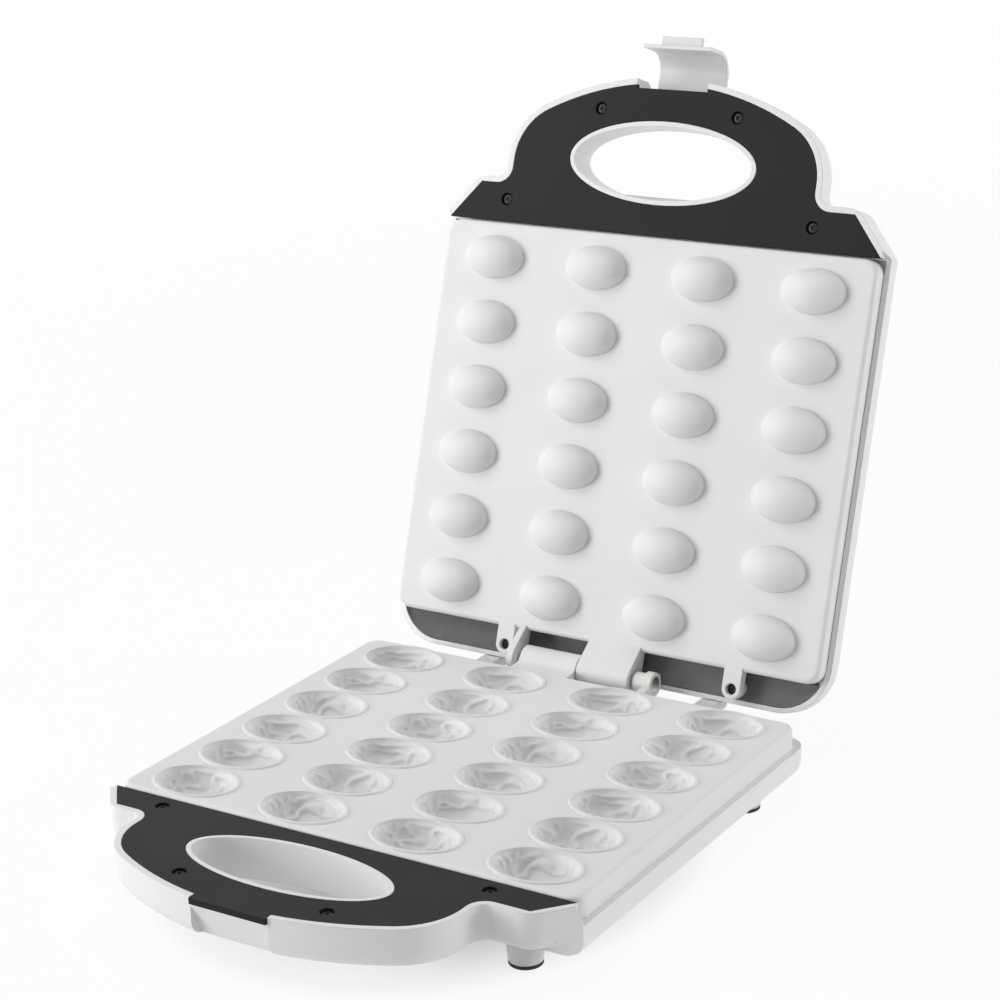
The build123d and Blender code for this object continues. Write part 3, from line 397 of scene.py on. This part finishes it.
roundPieces = {
    # rubber pad with three gripping rings underneath and a stem that is pressed into the foot
    "foot_pad_": {
        "profile": (
            (0, -0.35), (2.0, -0.35), (2.2, 0), (3.4, 0), (3.6, -0.35), (4.6, -0.35), (4.8, 0), (6.0, 0),
            (6.2, -0.35), (6.8, -0.35), (7.0, -0.05), (7.5, -0.05), (7.8, -0.4), (7.8, -1.7), (7.6, -2.0),
            (3.0, -2.0), (3.0, -5.8), (2.7, -6.0), (0, -6.0),
        ),
        "axis": -baseUp, "slot": "black_rubber", "material": "mouldedRubber", "ring": False,
    },
    # rubber sleeve of the cord inlet, with two grooves in its flange
    "cord_inlet_bushing": {
        "profile": (
            (3.1, -0.3), (3.4, 0), (3.9, 0), (4.1, -0.35), (4.4, -0.35), (4.6, 0), (5.1, -0.05), (5.3, -0.4),
            (5.5, -0.4), (5.7, -0.15), (6.2, -0.4), (6.5, -0.9), (6.5, -2.0), (4.5, -2.0), (4.5, -6.3),
            (4.3, -6.5), (3.1, -6.5),
        ),
        "axis": Vector((0, 1, 0)), "slot": "black_rubber", "material": "mouldedRubber", "ring": True,
    },
    # lenses with three shallow prism rings
    "power_lamp_lens": {
        "profile": (
            (0, 0), (0.9, -0.03), (1.1, -0.14), (1.3, -0.05), (2.2, -0.1), (2.4, -0.22), (2.6, -0.13),
            (3.4, -0.25), (3.6, -0.38), (3.8, -0.32), (4.3, -0.6), (4.6, -0.9), (4.6, -1.0), (3.6, -1.0),
            (3.6, -4.4), (3.5, -4.5), (0, -4.5),
        ),
        "axis": -lidUp, "slot": "lamp_red", "material": "redPolycarbonate", "ring": False,
    },
}
roundPieces["ready_lamp_lens"] = dict(
    roundPieces["power_lamp_lens"], slot="lamp_green", material="greenPolycarbonate")
roundSides = 56
roundSharpAngle = 40

for start, look in roundPieces.items():
    mesh = meshFrom(turnedDraft(look["profile"], roundSides, look["ring"]), start + "mesh", roundSharpAngle)
    for node in sorted(cadNodes):
        if isNamed(node, start):
            standIn(node, mesh, look)
print("round pieces dressed:", len(roundPieces), "kinds")


# walnut relief in the cavities, in millimetres: raised veins with low pads between them

nutRelief = {
    "columns": 4, "rows": 6, "columnPitch": 62.0, "rowPitch": 34.75,
    "firstRow": 18.65,  # from the plate's front edge
    "rimHeight": 39.25,  # of the cavities' lips, above the floor
    "halfLength": 21.0, "halfWidth": 15.0,
    "veinHeight": 1.1, "veinSize": 5.0, "veinWidth": 0.24, "lengthwise": 0.6,  # under 1 draws the veins out
    "wander": 0.9, "wanderSize": 2.2,  # how far the veins stray and over how long a way, in vein sizes
    "padHeight": 0.25, "padScale": 2.1,
    "skin": 0.14, "sunk": 0.06,  # the relief's floor stands over the casting, its rim just under
    "bareRim": 0.07, "fade": 0.2,  # of the cavity's depth
    "around": 112, "down": 36, "kinds": 3, "seed": 5,
}
kindShift = 7.3  # moves each kind to another part of the noise


def reliefHeight(point, depth, size, kind):
    along = Vector((point.x * size["lengthwise"], point.y, point.z))  # the veins run with the nut's length
    wander = noise.noise_vector(along / (size["wanderSize"] * size["veinSize"])) * size["veinSize"]
    place = (along + wander * size["wander"]) / size["veinSize"] + Vector((kind * kindShift, 0, 0))
    vein = 1 - min(1, abs(noise.noise(place)) / size["veinWidth"]) ** 2
    pad = 0.5 + 0.5 * noise.noise(place * size["padScale"])
    fade = min(1, max(0, (depth - size["bareRim"]) / size["fade"]))
    raised = size["sunk"] + size["skin"] + size["veinHeight"] * vein + size["padHeight"] * pad
    return -size["sunk"] + fade * raised


def reliefMesh(size, kind):
    draft = bmesh.new()
    a, b = size["halfLength"], size["halfWidth"]
    rings = []
    for row in range(size["down"]):
        angle = math.pi / 2 * row / size["down"]
        ring = []
        for column in range(size["around"]):
            spin = 2 * math.pi * column / size["around"]
            point = Vector((a * math.cos(angle) * math.cos(spin), b * math.cos(angle) * math.sin(spin),
                            -b * math.sin(angle)))
            inward = -Vector((point.x / a ** 2, point.y / b ** 2, point.z / b ** 2)).normalized()
            lift = reliefHeight(point, math.sin(angle), size, kind)
            ring.append(draft.verts.new((point + inward * lift) * mm))
        rings.append(ring)
    bottom = Vector((0, 0, -b))
    lift = reliefHeight(bottom, 1, size, kind)
    rings.append([draft.verts.new((bottom + Vector((0, 0, lift))) * mm)])
    for low, high in zip(rings, rings[1:]):
        bridge(draft, low, high, size["around"], flipped=True)
    return meshFrom(draft, "nutRelief%d" % kind)


noise.seed_set(nutRelief["seed"])  # without it the veins wander another way in each run
reliefs = [reliefMesh(nutRelief, kind) for kind in range(nutRelief["kinds"])]
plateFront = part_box("lower_plate")[0][1]
for column in range(nutRelief["columns"]):
    for row in range(nutRelief["rows"]):
        number = column * nutRelief["rows"] + row
        x = (column - (nutRelief["columns"] - 1) / 2) * nutRelief["columnPitch"] * mm
        y = plateFront + (nutRelief["firstRow"] + row * nutRelief["rowPitch"]) * mm
        turn = Matrix.Rotation(math.pi * (number // 2 % 2), 4, "Z")  # every other pair is turned end for end
        place = Matrix.Translation((x, y, nutRelief["rimHeight"] * mm)) @ turn
        addPiece("nutRelief_%d_%d" % (column + 1, row + 1), reliefs[number % len(reliefs)], "base",
                 "sprayedCeramic", place)
print("cavities:", nutRelief["columns"] * nutRelief["rows"])


# a dark felt sheet in the lid's channel behind the plate, painted shade for the shadow there, in millimetres

lidShadeSheet = {
    "front": 105.75, "rear": 120.2, "half": 125.1, "corner": 24.2, "depth": 10.9,  # the channel, lid face up
    "thickness": 0.7, "rise": 2.8,  # the felt curves up to the lid's rim
    "hingeToPlate": 120.025, "plateGap": 1.6, "hingeDrop": 1.5,  # from the hinge to the drawing's zero
    "cells": 1.6, "leastWidth": 0.4, "edgeDrop": 0.35,  # the felt's edges lie flat on the lid
    "tufts": ((0.35, 5.5, 0), (0.15, 1.9, 9)),  # height, size and the layer of noise
}


def lidPoint(x, y, depth):  # from the lid's drawing, face up, to where the open lid is, in metres
    hinge = Vector(frame["record"]["behaviour"]["joints"][0]["pos_m"])
    out = (y - lidShadeSheet["hingeToPlate"]) * mm
    rise = (depth + lidShadeSheet["plateGap"] + lidShadeSheet["hingeDrop"]) * mm
    return hinge + Vector((x * mm, out * math.cos(openAngle) + rise * math.sin(openAngle),
                           -out * math.sin(openAngle) + rise * math.cos(openAngle)))


def shadeSheetMesh(size):
    draft = bmesh.new()
    across = int(2 * size["half"] / size["cells"])
    along = int((size["rear"] - size["front"]) / size["cells"])
    rows = []
    for i in range(across + 1):
        x = size["half"] * (2 * i / across - 1)
        past = max(0, abs(x) - (size["half"] - size["corner"]))
        end = size["rear"] - size["corner"] + math.sqrt(max(0, size["corner"] ** 2 - past ** 2))
        end = max(end, size["front"] + size["leastWidth"])
        rows.append([])
        for j in range(along + 1):
            y = size["front"] + (end - size["front"]) * j / along
            lift = size["thickness"] + size["rise"] * (j / along) ** 2
            for height, width, layer in size["tufts"]:
                lift += height * noise.noise(Vector((x, y, layer)) / width)
            if j in (0, along):
                lift -= size["edgeDrop"]
            rows[-1].append(draft.verts.new(lidPoint(x, y, size["depth"] - lift)))
    for first, second in zip(rows, rows[1:]):
        for j in range(along):
            draft.faces.new((first[j], first[j + 1], second[j + 1], second[j]))
    bmesh.ops.recalc_face_normals(draft, faces=draft.faces)
    return meshFrom(draft, "lidShadeSheet")


# the dark sheet is painted shade laid over the channel's floor
addPiece("lidShadeSheet", shadeSheetMesh(lidShadeSheet), "lid", "paintedShadeFelt")
print("felt laid")


# the studio

studio = {
    "floorColour": "#F2F2F2", "floorReach": 15, "floorGlow": 0.93, "skyLevel": 0.3,
    "underGlow": 0.35, "underMiddle": (0, -0.06), "underReach": (0.13, 0.15),  # shade beneath, in metres
    "shadeFade": (0.6, 1.0),  # in reaches of that shade
    "farGlow": 0.995, "far": (4, 16),  # in the same reaches, where the floor turns into the white ground
    "lamps": (
        # place in metres, size in metres, watts
        ((-2.2, -2.0, 0.6), 1.2, 40.0),
        ((-1.25, -0.7, 1.4), 0.8, 12.0),
        ((1.6, 0.55, 0.4), 0.9, 12.0),
        ((0.1, 0.5, 2.1), 1.2, 8.0),
    ),
    "target": (0, 0, 0.12),
}


def whiteGroundRays(tree):  # 1 for rays that are to see a white ground, 0 for those that light the object
    path = addNode(tree, "ShaderNodeLightPath").outputs
    mirrored = addNode(tree, "ShaderNodeMath", {0: path["Is Camera Ray"], 1: path["Is Glossy Ray"]},
                       operation="MAXIMUM")
    seen = addNode(tree, "ShaderNodeMath", {0: mirrored.outputs[0], 1: path["Is Transmission Ray"]},
                   operation="MAXIMUM")
    return seen.outputs[0]


scene.world = bpy.data.worlds.new("studio")
sky = freshTree(scene.world)
level = addNode(sky, "ShaderNodeMapRange", {
    "Value": whiteGroundRays(sky), "To Min": studio["skyLevel"], "To Max": 1.0})
glow = addNode(sky, "ShaderNodeBackground", {"Color": (1, 1, 1, 1), "Strength": level.outputs["Result"]})
addNode(sky, "ShaderNodeOutputWorld", {"Surface": glow.outputs["Background"]})

paleFloor = bpy.data.materials.new("paleFloor")
tree = freshTree(paleFloor)
reaches = [1 / r for r in studio["underReach"]]
spot = addNode(tree, "ShaderNodeMapping", {
    "Vector": addNode(tree, "ShaderNodeTexCoord").outputs["Object"], "Scale": reaches + [1],
    "Location": [-middle * reach for middle, reach in zip(studio["underMiddle"], reaches)] + [0]})
away = addNode(tree, "ShaderNodeVectorMath", {0: spot.outputs["Vector"]}, operation="LENGTH").outputs["Value"]
under = addNode(tree, "ShaderNodeMapRange", {
    "Value": away, "From Min": studio["shadeFade"][0], "From Max": studio["shadeFade"][1],
    "To Min": studio["underGlow"], "To Max": studio["floorGlow"]})
distant = addNode(tree, "ShaderNodeMapRange", {
    "Value": away, "From Min": studio["far"][0], "From Max": studio["far"][1],
    "To Max": studio["farGlow"] - studio["floorGlow"]})
glowing = addNode(tree, "ShaderNodeMath", {0: under.outputs["Result"], 1: distant.outputs["Result"]})
share = addNode(tree, "ShaderNodeMath", {0: whiteGroundRays(tree), 1: glowing.outputs["Value"]},
                operation="MULTIPLY")
plain = addNode(tree, "ShaderNodeBsdfDiffuse", {"Color": fromHex(studio["floorColour"])})
lit = addNode(tree, "ShaderNodeEmission", {"Color": (1, 1, 1, 1), "Strength": 1.0})
both = addNode(tree, "ShaderNodeMixShader", {"Fac": share.outputs[0], 1: plain.outputs[0], 2: lit.outputs[0]})
addNode(tree, "ShaderNodeOutputMaterial", {"Surface": both.outputs["Shader"]})
floorMesh = bpy.data.meshes.new("floor")
floorMesh.from_pydata([(x * studio["floorReach"], y * studio["floorReach"], 0)
                       for x, y in ((-1, -1), (1, -1), (1, 1), (-1, 1))], [], [(0, 1, 2, 3)])
floorMesh.materials.append(paleFloor)
floor = bpy.data.objects.new("floor", floorMesh)
scene.collection.objects.link(floor)

for number, (place, size, watts) in enumerate(studio["lamps"], 1):
    lamp = bpy.data.lights.new("softbox%d" % number, "AREA")
    lamp.size = size
    lamp.energy = watts
    holder = bpy.data.objects.new("softbox%d" % number, lamp)
    scene.collection.objects.link(holder)
    holder.location = place
    holder.rotation_mode = "QUATERNION"
    holder.rotation_quaternion = (Vector(studio["target"]) - Vector(place)).to_track_quat("-Z", "Y")
print("studio lit")


# the camera, from the photograph's perspective

shot = {
    "place": (0.6224, -0.9686, 0.5337), "azimuth": 32.524, "elevation": 18.168, "roll": -1.845,
    "lens": 92.18, "sensor": 36, "clip": (0.05, 60),
}
azimuth, elevation, roll = (math.radians(shot[key]) for key in ("azimuth", "elevation", "roll"))
right = Vector((math.cos(azimuth), math.sin(azimuth), 0))
back = Vector((math.sin(azimuth) * math.cos(elevation), -math.cos(azimuth) * math.cos(elevation),
               math.sin(elevation)))
up = back.cross(right)
tiltedRight = right * math.cos(roll) + up * math.sin(roll)
tiltedUp = up * math.cos(roll) - right * math.sin(roll)
camera = bpy.data.objects.new("camera", bpy.data.cameras.new("camera"))
scene.collection.objects.link(camera)
camera.data.lens = shot["lens"]
camera.data.sensor_width = shot["sensor"]
camera.data.clip_start, camera.data.clip_end = shot["clip"]
turned = Matrix((tiltedRight, tiltedUp, back)).transposed().to_4x4()
camera.matrix_world = Matrix.Translation(shot["place"]) @ turned
scene.camera = camera
scene.view_settings.view_transform = "Standard"
print("camera set")
